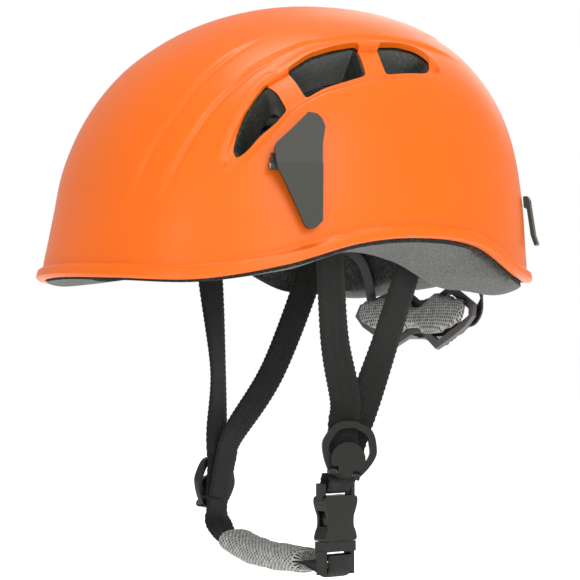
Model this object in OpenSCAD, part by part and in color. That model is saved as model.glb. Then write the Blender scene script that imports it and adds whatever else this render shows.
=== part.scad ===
// Climbing helmet: one-piece moulded shell over a foam liner, with a four-point
// webbing harness, side-release buckle, padded chin strap, dial-adjusted nape
// cradle and four headlamp clips.
// Frame: +Z up, -Y is the front, +X is the wearer's left. The origin is on the
// centre line, level with the middle of the brow edge of the shell opening.

/* [Shell] */
// Length of the shell front to back, without the brim flare
shell_len = 258; // [250:1:266]
// Width of the shell side to side, without the brim flare
shell_wid = 210; // [204:1:216]
// Height of the crown above the origin
shell_h = 143.5; // [140:0.5:148]
// Thickness of the plastic shell
shell_t = 3; // [2:0.25:3.5]

/* [Foam liner] */
// Depth of the foam's inner face below the outside of the shell
foam_in = 24; // [22:0.5:25]
// Depth of the foam's outer face below the outside of the shell
foam_out = 4.2; // [3.8:0.1:5]
// How far the foam shows below the rim of the shell
foam_drop = 2.4; // [1:0.2:4]

/* [Harness] */
// Width of the webbing
web_w = 16; // [15:0.5:16.5]
// Thickness of the webbing
web_t = 1.6; // [1.2:0.1:1.7]
// Thickness of the strap divider's frame
div_t = 3; // [2.5:0.1:3.4]
// Radius of the divider's round flap
flap_r = 9; // [8:0.25:9.5]
// Thickness of the buckle
buckle_t = 9; // [8.5:0.25:10]
// Thickness of the chin pad
chin_pad_t = 14; // [12:0.5:15]

/* [Nape cradle] */
// Width of the frame's bars, seen from behind
bar_w = 4.2; // [3.5:0.1:5]
// Radius of the dial
dial_r = 12; // [10:0.5:13]
// Teeth on the dial's pinion
pinion_teeth = 10; // [10:1:10]
// Thickness of the nape pad
nape_pad_t = 5; // [4:0.5:5.5]

/* [Headlamp clips] */
// Thickness of the clip plates
clip_t = 2.6; // [2:0.2:3.2]
// Radius of the clip's hinge pin
clip_pin_r = 1.1; // [0.9:0.05:1.15]

/* [Hidden] */
$fn = 48;
zb = -4;      // height where the shell is widest
ne = 2.25;    // squareness of the plan
crown_back = 15; // how far the crown sits behind the middle
pw = 2.8;     // squareness of the profile
pe = 0.47;

function clamp(v, a, b) = min(max(v, a), b);
function unit(v) = v / norm(v);
function prof(w) = max(pow(max(1 - pow(clamp(w, 0, 1), pw), 0), pe), 0.00001);
// point at bearing t (0 at the front, 90 at the left), height z, depth d below the shell's outside
function S(t, z, d = 0) =
  let (h = shell_h - d, w = clamp((z - zb) / (h - zb), 0, 1), p = prof(w),
       f = exp(-max(z - zb, 0) / 22), c = cos(t), s = sin(t),
       a = (shell_len / 2 - d) * p, b = (shell_wid / 2 - d) * p,
       fl = (7 * pow(max(c, 0), 2) + 2.5 * s * s + 4.5 * pow(max(-c, 0), 2)) * f,
       r = pow(pow(abs(s) / b, ne) + pow(abs(c) / a, ne), -1 / ne) + fl)
  [r * s * (1 - 0.04 * c), crown_back * pow(w, 1.5) - r * c, z];
// height of the shell's rim every 20 degrees from the front to the back, the same on both sides
RIM = [-4, -5, -6, 1, 12, 15.5, 12, -3, -5, 4];
function cr(a, b, c, d, u) = 0.5 * (2 * b + (c - a) * u + (2 * a - 5 * b + 4 * c - d) * u * u + (3 * b - a - 3 * c + d) * u * u * u);
// height of the inner bottom edge of the foam at the same bearings: it hangs lowest behind the ears
RIM_IN = [-7, -8, -9, -3, 8, 4, -9, -9, -1, 4];
function rim_at(t, R = RIM) = let (q = abs(((t + 180) % 360) - 180) / 20, i = min(floor(q), 8))
  cr(R[i == 0 ? 1 : i - 1], R[i], R[i + 1], R[i == 8 ? 8 : i + 2], q - i);
function path(P, n) = [for (i = [0:len(P) - 2]) for (k = [0:n - 1])
  cr(P[max(i - 1, 0)], P[i], P[i + 1], P[min(i + 2, len(P) - 1)], k / n), P[len(P) - 1]];

// closed dome between depths d0 and d1; its outer edge runs at the heights zr and its inner edge at zi (one per bearing)
module dome(zr, d0, d1, nv = 14, zi = []) {
  nt = len(zr); e = [zr, len(zi) == 0 ? zr : zi];
  g = [for (j = [0:nv - 1]) 1 - pow(1 - j / nv, 1.7)];
  o = [for (q = [0, 1]) let (d = [d0, d1][q]) each [
    for (j = [0:nv - 1]) for (i = [0:nt - 1]) S(360 * i / nt, e[q][i] + (shell_h - d - e[q][i]) * g[j], d),
    [0, crown_back, shell_h - d]]];
  m = nt * nv + 1;
  polyhedron(o, [
    for (j = [0:nv - 2]) for (i = [0:nt - 1]) let (a = j * nt + i, b = j * nt + (i + 1) % nt, c = b + nt, d = a + nt)
      each [[a, d, c], [a, c, b], [m + a, m + c, m + d], [m + a, m + b, m + c]],
    for (i = [0:nt - 1]) let (a = (nv - 1) * nt + i, b = (nv - 1) * nt + (i + 1) % nt)
      each [[a, m - 1, b], [m + a, m + b, 2 * m - 1]],
    for (i = [0:nt - 1]) let (a = i, b = (i + 1) % nt) each [[a, b, m + b], [a, m + b, m + a]]]);
}

// curved slab between bearings t0..t1, heights z0..z1 and depths d0..d1
module slab(t0, t1, z0, z1, d0, d1, nt = 16, nz = 4) {
  P = [for (d = [d0, d1]) for (j = [0:nz]) for (i = [0:nt]) S(t0 + (t1 - t0) * i / nt, z0 + (z1 - z0) * j / nz, d)];
  w = nt + 1; m = w * (nz + 1);
  polyhedron(P, [
    for (j = [0:nz - 1]) for (i = [0:nt - 1]) let (a = j * w + i, b = a + 1, c = b + w, d = a + w)
      each [[a, d, c], [a, c, b], [m + a, m + c, m + d], [m + a, m + b, m + c]],
    for (i = [0:nt - 1]) let (a = i, b = i + 1, e = nz * w + i, f = e + 1)
      each [[a, b, m + b], [a, m + b, m + a], [e, m + f, f], [e, m + e, m + f]],
    for (j = [0:nz - 1]) let (a = j * w, b = a + w, e = a + nt, f = e + w)
      each [[a, m + b, b], [a, m + a, m + b], [e, f, m + f], [e, m + f, m + e]]]);
}

// cutter through the wall, over an outline of [bearing, height] points on the outside
module wall_cut(L, k0 = 0.62, k1 = 1.12) {
  c = [0, 8, 40]; n = len(L);
  O = [for (p = L) S(p[0], p[1])];
  mid = [for (i = [0:2]) [for (p = O) p[i]] * [for (p = O) 1] / n];
  P = [for (p = O) c + (p - c) * k1, c + (mid - c) * k1, for (p = O) c + (p - c) * k0, c + (mid - c) * k0];
  polyhedron(P, [for (i = [0:n - 1]) let (j = (i + 1) % n) each [
    [i, j, n], [n + 1 + i, 2 * n + 1, n + 1 + j],
    [i, n + 1 + i, n + 1 + j], [i, n + 1 + j, j]]]);
}
// outlines of the three vents on the left side, clockwise seen from outside
VENT1 = [[45, 58], [45.2, 65.5], [46.2, 76.5], [48.2, 85.5], [50.8, 91.5], [54, 88], [57.5, 79.5], [54.8, 72.5], [51.2, 65.5], [48.5, 58], [46.2, 54]];
VENT2 = [[55.8, 99.5], [62.2, 106], [70.5, 110.5], [80.2, 113.5], [81.8, 108], [83, 101.5], [82.8, 99.5], [75.5, 96], [68.2, 92], [62.5, 86], [59.2, 93]];
VENT3 = [[89.5, 114], [99.5, 115], [107.5, 114], [112.2, 112], [114, 109], [112.2, 105.5], [110, 103.5], [100.8, 102.5], [91.5, 101], [90, 107.5]];
module vents() for (v = [VENT1, VENT2, VENT3]) { wall_cut(v); mirror([1, 0, 0]) wall_cut(v); }

// flat band swept through points P, with its width along the directions W
module ribbon(P0, W0, w = web_w, th = web_t, n = 4) {
  P = path(P0, n); W = path(W0, n); k = len(P);
  T = [for (i = [0:k - 1]) unit(P[min(i + 1, k - 1)] - P[max(i - 1, 0)])];
  V = [for (i = [0:k - 1]) unit(W[i] - T[i] * (W[i] * T[i]))];
  N = [for (i = [0:k - 1]) cross(T[i], V[i])];
  Q = [for (i = [0:k - 1]) each [P[i] + V[i] * w / 2 + N[i] * th / 2, P[i] - V[i] * w / 2 + N[i] * th / 2,
                                 P[i] - V[i] * w / 2 - N[i] * th / 2, P[i] + V[i] * w / 2 - N[i] * th / 2]];
  polyhedron(Q, [[0, 1, 2], [0, 2, 3],
    for (i = [0:k - 2]) for (j = [0:3]) let (a = 4 * i + j, b = 4 * i + (j + 1) % 4) each [[a, a + 4, b + 4], [a, b + 4, b]],
    [4 * k - 4, 4 * k - 2, 4 * k - 3], [4 * k - 4, 4 * k - 1, 4 * k - 2]]);
}

// local frame on a face: x to the right, y up, z outward along bearing az
module face(pos, az, roll = 0, pitch = 0)
  translate(pos) rotate([0, 0, az]) rotate([90, 0, 0]) rotate([pitch, 0, 0]) rotate([0, 0, roll]) children();
module ex(z0, z1) translate([0, 0, z0]) linear_extrude(z1 - z0) children();
module xrod(x0, x1, y, z, r) translate([x0, y, z]) rotate([0, 90, 0]) cylinder(r = r, h = x1 - x0);
module box(x0, x1, y0, y1, z0, z1) translate([x0, y0, z0]) cube([x1 - x0, y1 - y0, z1 - z0]);
module rightside() mirror([1, 0, 0]) children();

// ---------------------------------------------------------------- shell, foam and pads
EDGE = [for (i = [0:59]) rim_at(6 * i)];
module shell() color("darkorange") difference() { dome(EDGE, 0, shell_t); vents(); }
// pockets where the strap anchors sit in the foam's inner face: [y, z of the middle, x of the inner face]
ANCHORS = [[-21, 33, 77.9], [39, 33, 78.3], [-8, 33, -79.1], [61, 33, -71.2]];
module liner() color([0.12, 0.12, 0.12]) difference() {
  dome([for (e = EDGE) e - foam_drop], foam_out, foam_in, 12, [for (i = [0:59]) rim_at(6 * i, RIM_IN)]);
  vents();
  for (a = ANCHORS) anchor_place(a) box(-13, 13, -9, 11, -6, 9);
}
module brow_pad() color([0.25, 0.25, 0.25]) slab(-42, 42, 5, 32, foam_in + 0.4, foam_in + 6.4, 20, 3);
module crown_pad() color([0.25, 0.25, 0.25]) dome([for (i = [0:39]) 96], foam_in + 0.4, foam_in + 6.4, 6);
module side_pad() color([0.25, 0.25, 0.25]) slab(58, 118, 50, 84, foam_in + 0.4, foam_in + 6.4, 14, 4);

// ---------------------------------------------------------------- headlamp clips
CLIP = [94.8, -48, 50];
module clip_at(pitch = 0) face(CLIP, 75, 0, pitch) children();
module front_clip_base() color([0.28, 0.28, 0.26]) clip_at() difference() {
  union() {
    for (x = [[-15.2, -10.5], [6, 9.5]]) { box(x[0], x[1], -0.3, 4.4, 0.45, 2.2); xrod(x[0], x[1], 0, 2.1, 1.9); }
    rotate([-16, 0, 0]) box(-14.4, 8.8, 3.2, 6.5, 0.9, 2.4);
  }
  xrod(-17, 12, 0, 2.1, clip_pin_r + 0.03);
}
module front_clip_lever() color([0.28, 0.28, 0.26]) clip_at() difference() {
  union() {
    rotate([-18, 0, 0]) ex(4.3, 4.3 + clip_t) polygon([[-13, -1], [-13.2, 8.3], [-12, 10.6], [-2.6, 19], [5.6, 27.2], [10, 26.4], [12.4, 24], [13.8, 19.6], [11.6, 10], [10.6, -1]]);
    rotate([-5, 0, 0]) ex(4.3, 4.3 + clip_t) polygon([[-12.9, 1.2], [-12.5, -1], [-6.6, -13], [0.9, -30.2], [2.2, -31.6], [5, -31.6], [6.6, -31], [10, -27.8], [10.9, -1], [10.9, 1.2]]);
    rotate([-5, 0, 0]) ex(2, 4.8) polygon([[1.4, -28.8], [2.6, -31.2], [4.8, -31.2], [6, -30.8], [7.6, -28.8]]);
    xrod(-10.1, 5.7, 0, 2.1, 1.9);
    box(-9.7, 5.3, -1.2, 1.2, 2.4, 5.2);
  }
  xrod(-17, 12, 0, 2.1, clip_pin_r + 0.05);
}
module front_clip_pin() color("dimgray") clip_at() {
  xrod(-15.3, 9.6, 0, 2.1, clip_pin_r);
  xrod(-16, -15.25, 0, 2.1, clip_pin_r + 0.7);
}
module rear_clip() color([0.28, 0.28, 0.26]) face([61.9, 113.4, 28], 139, 0, -4) difference() {
  translate([-6.5, 0, 0]) rotate([90, 0, 90]) linear_extrude(13)
    polygon([[13, 0.7], [13, 3], [11, 3.9], [-8, 5.4], [-13.5, 6.8], [-14, 5], [-8.5, 3.4], [6, 2.3], [7, 0.7]]);
  translate([0, 10, -1]) cylinder(r = 1.6, h = 8);
}

// ---------------------------------------------------------------- strap anchors and webbing
module anchor_place(a) translate([a[2], a[0], a[1]]) rotate([0, 0, a[2] > 0 ? (a[0] > 0 ? 12 : -8) : (a[0] > 30 ? -22 : 0)])
  rotate([90, 0, a[2] > 0 ? 90 : -90]) children();
module strap_anchors() color([0.2, 0.2, 0.2]) for (a = ANCHORS) anchor_place(a) difference() {
  box(-12, 12, -8, 8, 1.2, 4.2);
  box(-web_w / 2 - 1.2, web_w / 2 + 1.2, -2.4, 3.2, 0, 6);
  for (x = [-10.6, 10.6]) translate([x, -5.5, 0]) cylinder(r = 0.9, h = 8);
}
DLW = [cos(68), sin(68), -0.2];
DRW = [-cos(75), sin(75), -0.12];
FSL = [[80.4, -21.3, 33.4], [77.2, -21, 31.5], [76.1, -20.6, 24], [76.9, -19.2, 8], [70.8, -12.6, -36], dl(-7.4, 30, -2.9), dl(-5.4, 17, -2.9), dl(-2.6, 5, -2.9), dl(-1, -3.4, -2.9)];
FSLW = [[0, 1, 0], [0, 1, 0], [0, 1, 0], [0, 1, 0], [0.1, 1, 0.15], DLW, DLW, DLW, DLW];
module front_strap_left() color([0.13, 0.13, 0.12]) ribbon(FSL, FSLW);
RSL = [[81, 39.8, 33.4], [77.8, 39, 31.5], [76.6, 38, 24], [74.6, 33.6, 10], [68.6, 20, -36.5], dl(3.4, 29, -5.6), dl(1.8, 17, -5), dl(0.6, 5, -4.9), dl(0, -3.4, -4.9)];
RSLW = [[-0.2, 1, 0], [-0.2, 1, 0], [-0.2, 1, -0.1], [-0.1, 1, -0.3], [0, 1, -0.35], DLW, DLW, DLW, DLW];
module rear_strap_left() color([0.13, 0.13, 0.12]) ribbon(RSL, RSLW);
FSR = [[-81.5, -8, 33.4], [-78.3, -8, 31.5], [-77.2, -7.9, 24], [-77.4, -6, 2], [-72, -3.6, -54], dr(-4.6, 31, -2.9), dr(-1.8, 19, -2.9), dr(-0.8, 6, -2.9), dr(-0.5, -3.4, -2.9)];
FSRW = [[0, 1, 0], [0, 1, 0], [0, 1, 0], [0, 1, 0], [-0.5, 0.87, 0], DRW, DRW, DRW, DRW];
module front_strap_right() color([0.13, 0.13, 0.12]) ribbon(FSR, FSRW);
RSR = [[-73.6, 62.2, 33.4], [-70.2, 61.2, 31.5], [-69, 61, 24], [-69.4, 56.5, 4], [-68.6, 30.5, -54], dr(5, 33, -6), dr(1.8, 20, -5.4), dr(0.6, 6, -5), dr(0, -3.4, -4.9)];
RSRW = [[0.38, 0.92, 0], [0.38, 0.92, 0], [0.3, 0.95, -0.1], [0.2, 1, -0.4], [0, 1, -0.5], DRW, DRW, DRW, DRW];
module rear_strap_right() color([0.13, 0.13, 0.12]) ribbon(RSR, RSRW);

// ---------------------------------------------------------------- strap dividers
module div_left(p = 0) face([67.2, -3, -98], 68, -13, p) children();
module div_right(p = 0) rightside() face([65.4, -10, -122], 75, -8, p) children();
module d_outline(e = 0) difference() {
  polygon([for (q = path([[0, 20 - e], [9.2 - 0.6 * e, 17.4 - e], [13.6 - e, 9.6 - e / 2], [14.2 - e, 3.6], [10.6 - e * 0.8, -4.6], [5.6, -9.6 + e], [-5.6, -9.6 + e],
    [-10.6 + e * 0.8, -4.6], [-14.2 + e, 3.6], [-13.6 + e, 9.6 - e / 2], [-9.2 + 0.6 * e, 17.4 - e], [0, 20 - e]], 4)) q]);
}
module divider_frame() color([0.2, 0.2, 0.19]) difference() {
  union() {
    ex(-div_t / 2, div_t / 2) d_outline();
    for (x = [-8, 4.6]) { box(x, x + 3.4, -9.6, -5.6, 0, 2.9); xrod(x, x + 3.4, -7.6, 2.9, 2); }
  }
  ex(-3, 3) difference() { d_outline(3.4); translate([-20, -20]) square([40, 21.5]); }
  xrod(-12, 12, -7.6, 2.9, 0.93);
  box(-4.4, 4.4, -12, -5, 1.2, 6);
}
module divider_flap() color([0.2, 0.2, 0.19]) difference() {
  union() {
    ex(2, 4.6) circle(r = flap_r, $fn = 64);
    xrod(-4.1, 4.1, -7.6, 2.9, 1.6);
  }
  box(-9, -4.1, -12, -4.6, 0, 6);
  box(4.1, 9, -12, -4.6, 0, 6);
  box(-9, 9, -12, -9.25, 0, 6);
  xrod(-12, 12, -7.6, 2.9, 0.95);
}
module divider_pin() color("dimgray") xrod(-8, 8, -7.6, 2.9, 0.9);

// ---------------------------------------------------------------- side-release buckle
BK = [59, -5, -127];
module bk() face(BK, 102) children();
module buckle_socket() color([0.17, 0.17, 0.17]) bk() difference() {
  union() {
    ex(-buckle_t / 2, buckle_t / 2) polygon([for (q = path([[0, 9.8], [9.8, 9.8], [11.6, 7], [10.4, 2.6], [9, -1], [9, -6], [10.4, -9], [10.4, -13.4], [0, -13.4]], 3)) q,
      for (q = path([[0, -13.4], [-10.4, -13.4], [-10.4, -9], [-9, -6], [-9, -1], [-10.4, 2.6], [-11.6, 7], [-9.8, 9.8], [0, 9.8]], 3)) q]);
    for (x = [-11.5, 9]) box(x, x + 2.5, 5, 16.4, -2.5, 2.5);
    xrod(-11.5, 11.5, 14.6, 0, 2);
  }
  box(-8, 8, -14, 5.5, -2.8, 2.8);
  box(-12, 12, -6, 2.2, -2.8, 2.8);
}
module buckle_plug() color([0.17, 0.17, 0.17]) bk() difference() {
  union() {
    box(-10.4, 10.4, -19, -13.8, -buckle_t / 2, buckle_t / 2);
    box(-7.2, 7.2, -13.9, -12, -2.4, 2.4);
    box(-1.6, 1.6, -13.9, 3, -2.2, 2.2);
    for (x = [-10.9, 8.5]) box(x, x + 2.4, -31, -18.8, -2.8, 2.8);
    xrod(-10, 10, -22.2, 0, 1.9);
    xrod(-10, 10, -28.6, 0, 1.9);
  }
  for (s = [-1, 1]) box(s * 5 - 2.3, s * 5 + 2.3, -17.6, -11, -2.1, 2.1);
}
// spring leg with a rounded catch: hinged at its root inside the plug's collar
module prong(s) color([0.17, 0.17, 0.17]) bk() difference() {
  union() {
    xrod2(s * 5, -15.4, 1.9);
    ex(-1.8, 1.8) polygon([[s * 3.9, -15], [s * 6.1, -15], [s * 6.3, -8], [s * 7.2, -5.4], [s * 7.6, -2], [s * 7.0, 1.6], [s * 5, 4.6], [s * 3.6, 4.6], [s * 4.4, 0], [s * 4.4, -6]]);
  }
  translate([s * 5, -15.4, -4]) cylinder(r = 0.6, h = 8);
}
module xrod2(x, y, r) translate([x, y, -1.8]) cylinder(r = r, h = 3.6);
module buckle_prong_front() prong(-1);
module buckle_prong_rear() prong(1);
function dv(pos, az, r, x, y, z) = pos + [(x * cos(r) - y * sin(r)) * cos(az) + z * sin(az),
  (x * cos(r) - y * sin(r)) * sin(az) - z * cos(az), x * sin(r) + y * cos(r)];
function dl(x, y, z) = dv([67.2, -3, -98], 68, -13, x, y, z);
function dr(x, y, z) = let (p = dv([65.4, -10, -122], 75, -8, x, y, z)) [-p[0], p[1], p[2]];
function bkp(x, y, z) = BK + [x * cos(102) + z * sin(102), x * sin(102) - z * cos(102), y];
// webbing from behind the left divider, round the socket's bar
LSL = [dl(0, -4.6, -3.8), dl(0, -8.6, -4.3), bkp(0, 16.8, 3.5), bkp(0, 14.6, 3), bkp(0, 12.4, 2.1), bkp(0, 11.6, 0), bkp(0, 12.4, -2.1), bkp(0, 14.6, -3), bkp(0, 18, -2.6), bkp(0, 21.4, -1.6)];
BKW = [cos(102), sin(102), 0];
module lower_strap_left() color([0.13, 0.13, 0.12]) ribbon(LSL, [DLW, DLW, for (i = [1:8]) BKW], web_w, web_t, 4);

// chin strap from behind the right divider, under the chin to the plug's ladder bars
CS = [dr(0, -4.6, -3.8), dr(0, -11.4, -4.4), [-58.2, -10.8, -139], [-52, -10.5, -145], [-42, -10.1, -149], [-21, -10.4, -152.6], [0, -11, -153.6], [24, -10.6, -153.2], [42, -9.4, -153],
      bkp(0, -29.4, -7.2), bkp(0, -31.4, -2.6), bkp(0, -31.4, 0.8), bkp(0, -29, 3), bkp(0, -25.4, 3.1), bkp(0, -21, 2.9)];
CSW = [-DRW, -DRW, [-0.1, -1, 0], [0, -1, 0], [0, -1, 0], [0, -1, 0], [0, -1, 0], [0, -1, 0], [0.1, -1, 0], -BKW, -BKW, -BKW, -BKW, -BKW, -BKW];
module chin_strap() color([0.13, 0.13, 0.12]) ribbon(CS, CSW, web_w, web_t, 4);
// padded sleeve round the chin strap
CP = [[-41, -10, -148.9], [-22, -10.4, -152], [0, -11, -153.2], [24, -10.6, -152.8], [41.4, -9.6, -152.6]];
module chin_pad() color([0.6, 0.6, 0.6]) difference() {
  ribbon(CP, [for (p = CP) [0, -1, 0]], 24, chin_pad_t, 5);
  ribbon([for (i = [3:8]) CS[i]], [for (i = [3:8]) CSW[i]], web_w + 1.4, web_t + 1.4, 4);
}

// ---------------------------------------------------------------- nape cradle
NC = [0, 86.5, -24];
module cradle() face(NC, 180, 0, 14) children();
module band_shell(r0, r1) translate([0, 0, -300]) rotate([90, 0, 0]) difference() {
  cylinder(r = r1, h = 90, center = true, $fn = 180);
  cylinder(r = r0, h = 91, center = true, $fn = 180);
}
LOBE = [[6, 9.5], [25, 18], [58, 6], [60, -1], [52, -7], [23, -18.5], [6, -10.5]];
LOBE_IN = [[10.6, 7], [25.4, 13.4], [52.8, 3.2], [54.6, -0.6], [49.6, -2.6], [23.4, -13.6], [10.6, -8.2]];
module nape_frame() color([0.45, 0.43, 0.43]) intersection() {
  union() for (s = [0, 1]) mirror([s, 0, 0]) cradle() ex(-20, 20) difference() {
    union() { polygon(LOBE); translate([0, -9]) square([7, 18]); }
    polygon(LOBE_IN);
  }
  cradle() band_shell(300, 302.4);
}
PADL = [[0, 7], [6, 7.6], [12, 12.6], [18, 14], [36, 11.4], [52, 8], [54.4, 0], [50, -6], [34, -10.6], [17, -13], [11, -11.6], [6, -8.6], [0, -8.4]];
module nape_pad() color([0.6, 0.6, 0.6]) intersection() {
  cradle() ex(-30, 20) { polygon(PADL); mirror([1, 0]) polygon(PADL); }
  cradle() band_shell(300 - 0.6 - nape_pad_t, 300 - 0.6);
}
module rounded(w, h, r) { square([w - 2 * r, h], center = true); square([w, h - 2 * r], center = true);
  for (x = [-1, 1], y = [-1, 1]) translate([x * (w / 2 - r), y * (h / 2 - r)]) circle(r = r); }
module dial_housing() color([0.15, 0.15, 0.15]) cradle() difference() {
  union() {
    ex(2.8, 10) { rounded(52, 21, 4); circle(r = dial_r - 0.5); }
    ex(9.9, 11) circle(r = dial_r - 1.5);
  }
  ex(4, 8) square([60, 17.4], center = true);
  ex(0, 20) circle(r = 2.55);
}
module dial_knob() color([0.15, 0.15, 0.15]) cradle() difference() {
  union() { ex(11.3, 19) circle(r = dial_r, $fn = 72); ex(7.8, 11.4) circle(r = 2.5); }
  for (i = [0:11]) rotate(30 * i) translate([dial_r + 1.2, 0, 10]) cylinder(r = 2, h = 12, $fn = 24);
}
PR = pinion_teeth / 2;
module dial_pinion() color("gray") cradle() {
  ex(4.3, 7.7) {
    circle(r = PR - 1.1);
    for (i = [0:pinion_teeth - 1]) rotate(360 / pinion_teeth * i)
      polygon([[PR - 1.5, -0.75], [PR - 1.5, 0.75], [PR + 0.9, 0.35], [PR + 0.9, -0.35]]);
  }
  ex(3, 4.4) circle(r = 2.4);
}
module rack() ex(4.4, 7.6) polygon([[-12, PR + 3.3], [-12, PR + 1.3],
  for (i = [-3:7]) for (q = [[-0.75, 1.3], [-0.4, -0.8], [0.4, -0.8], [0.75, 1.3]]) [PI * i + q[0], PR + q[1]],
  [26, PR + 1.3], [26, PR + 3.3]]);
module rack_right() color("gray") cradle() rack();
module rack_left() color("gray") cradle() rotate([0, 0, 180]) rack();

// flexible arms from the temples, inside the foam and down to the racks, and the hangers that carry the cradle
function cpt(u, v, w) = [u, NC[1] + v * sin(14) + w * cos(14), NC[2] + v * cos(14) - w * sin(14)];
HB = [[68.9, -50, 32], [73.2, -30, 29], [74, -10, 26], [74, 10, 23], [72.4, 38, 20], [65.8, 60, 18], [59.6, 74.5, 15], [56, 81.8, 8.6], [54.6, 85.2, 0], [55.2, 87.6, -8], [56, 89.2, -14.5]];
UP = [0, 0, 1]; HE = [-0.8, 0.6, 0]; HM = [-0.55, 0.4, 0.7];
HBW = [UP, UP, UP, UP, UP, UP, [-0.2, 0.1, 1], HM, HE, HE, HM, UP, UP, UP, UP];
module arm(v) color([0.16, 0.16, 0.16]) ribbon([each HB, cpt(53, v * 0.1, 0.8), cpt(42, v * 0.4, 3.2), cpt(34, v * 0.8, 5.2), cpt(26.4, v, 6)], HBW, 5.6, 1.6, 4);
module headband_left() arm(-7.3);
module headband_right() rightside() arm(7.3);
module headband_studs() color([0.16, 0.16, 0.16]) for (s = [0, 1]) mirror([s, 0, 0])
  for (q = [[70.6, -45, 31.4], [72.5, -35, 29.9]]) face(q, 77) translate([0, 0, -3.3]) cylinder(r = 2.6, h = 1.6);
HI = [[36, 97.8, 22], [36, 97.4, 13], [34.4, 94.4, 4], [31.4, 91.6, -3.4]];
module hanger() color([0.38, 0.37, 0.37]) ribbon(HI, [[1, -0.3, 0.1], [1, -0.3, 0.2], [1, -0.1, 0.4], [1, 0, 0.45]], 5, 1.8, 5);

shell();
liner();
brow_pad();
crown_pad();
side_pad();  // side_pad_left
rightside() side_pad();  // side_pad_right
front_clip_base();  // front_clip_base_left
front_clip_lever();  // front_clip_lever_left
front_clip_pin();  // front_clip_pin_left
rightside() front_clip_base();  // front_clip_base_right
rightside() front_clip_lever();  // front_clip_lever_right
rightside() front_clip_pin();  // front_clip_pin_right
rear_clip();  // rear_clip_left
rightside() rear_clip();  // rear_clip_right
strap_anchors();
front_strap_left();
rear_strap_left();
front_strap_right();
rear_strap_right();
lower_strap_left();
div_left() divider_frame();  // divider_left
div_left() divider_flap();  // divider_flap_left
div_left() divider_pin();  // divider_pin_left
div_right() divider_frame();  // divider_right
div_right() divider_flap();  // divider_flap_right
div_right() divider_pin();  // divider_pin_right
buckle_socket();
buckle_plug();
buckle_prong_front();
buckle_prong_rear();
chin_strap();
chin_pad();
headband_left();
headband_right();
headband_studs();
hanger();  // hanger_left
rightside() hanger();  // hanger_right
nape_frame();
nape_pad();
dial_housing();
dial_knob();
dial_pinion();
rack_left();
rack_right();
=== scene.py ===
# Climbing helmet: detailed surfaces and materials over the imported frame.
import math
import bpy, bmesh
import numpy as np
from mathutils import Vector, Matrix, Euler
from mathutils.kdtree import KDTree


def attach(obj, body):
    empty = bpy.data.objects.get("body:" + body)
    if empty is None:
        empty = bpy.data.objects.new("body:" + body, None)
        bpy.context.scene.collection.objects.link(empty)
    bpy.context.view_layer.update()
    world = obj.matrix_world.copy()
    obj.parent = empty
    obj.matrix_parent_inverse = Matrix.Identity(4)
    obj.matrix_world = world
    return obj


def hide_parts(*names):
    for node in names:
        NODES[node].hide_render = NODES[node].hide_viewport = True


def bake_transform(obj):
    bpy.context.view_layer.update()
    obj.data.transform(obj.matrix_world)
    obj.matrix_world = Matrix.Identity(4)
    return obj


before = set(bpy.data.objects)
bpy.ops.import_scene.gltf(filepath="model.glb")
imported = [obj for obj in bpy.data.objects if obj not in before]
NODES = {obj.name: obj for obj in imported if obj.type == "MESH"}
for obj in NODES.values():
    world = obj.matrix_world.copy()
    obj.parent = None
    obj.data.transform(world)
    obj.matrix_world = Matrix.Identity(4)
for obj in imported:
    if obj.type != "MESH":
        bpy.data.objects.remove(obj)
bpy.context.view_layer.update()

MM = 0.001

# ------------------------------------------------------------------ the shell's family of surfaces
H, ZB, A0, B0, NE, YS, PE, PW = 143.5, -4.0, 129.0, 105.0, 2.25, 15.0, 0.47, 2.8
RIM = [-4, -5, -6, 1, 12, 15.5, 12, -3, -5, 4]
RIM_IN = [-7, -8, -9, -3, 8, 4, -9, -9, -1, 4]

def curve_at(t, R):
    q = np.abs(((np.asarray(t, float) + 180) % 360) - 180) / 20
    i = np.minimum(q.astype(int), 8); u = q - i
    R = np.array(R, float)
    a = R[np.where(i == 0, 1, i - 1)]; b = R[i]; c = R[i + 1]; d = R[np.where(i == 8, 8, np.minimum(i + 2, 9))]
    return 0.5 * (2 * b + (c - a) * u + (2 * a - 5 * b + 4 * c - d) * u * u + (3 * b - a - 3 * c + d) * u ** 3)

def S(t, z, d=0.0):
    t = np.asarray(t, float); z = np.asarray(z, float)
    h = H - d
    w = np.clip((z - ZB) / (h - ZB), 0, 1)
    p = np.maximum(np.maximum(1 - w ** PW, 0) ** PE, 1e-5)
    f = np.exp(-np.maximum(z - ZB, 0) / 22)
    c = np.cos(np.radians(t)); s = np.sin(np.radians(t))
    a = (A0 - d) * p; b = (B0 - d) * p
    fl = (7 * np.maximum(c, 0) ** 2 + 2.5 * s * s + 4.5 * np.maximum(-c, 0) ** 2) * f
    r = (np.abs(s / b) ** NE + np.abs(c / a) ** NE) ** (-1 / NE) + fl
    return np.stack([r * s * (1 - 0.04 * c), YS * w ** 1.5 - r * c, z + 0 * r], -1)

def normals_of(G):
    gt = np.roll(G, -1, 1) - np.roll(G, 1, 1)
    gz = np.empty_like(G); gz[1:-1] = G[2:] - G[:-2]; gz[0] = G[1] - G[0]; gz[-1] = G[-1] - G[-2]
    n = np.cross(gt, gz)
    return n / (np.linalg.norm(n, axis=-1, keepdims=True) + 1e-12)

def smooth(x):
    x = np.clip(x, 0, 1)
    return x * x * (3 - 2 * x)

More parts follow.
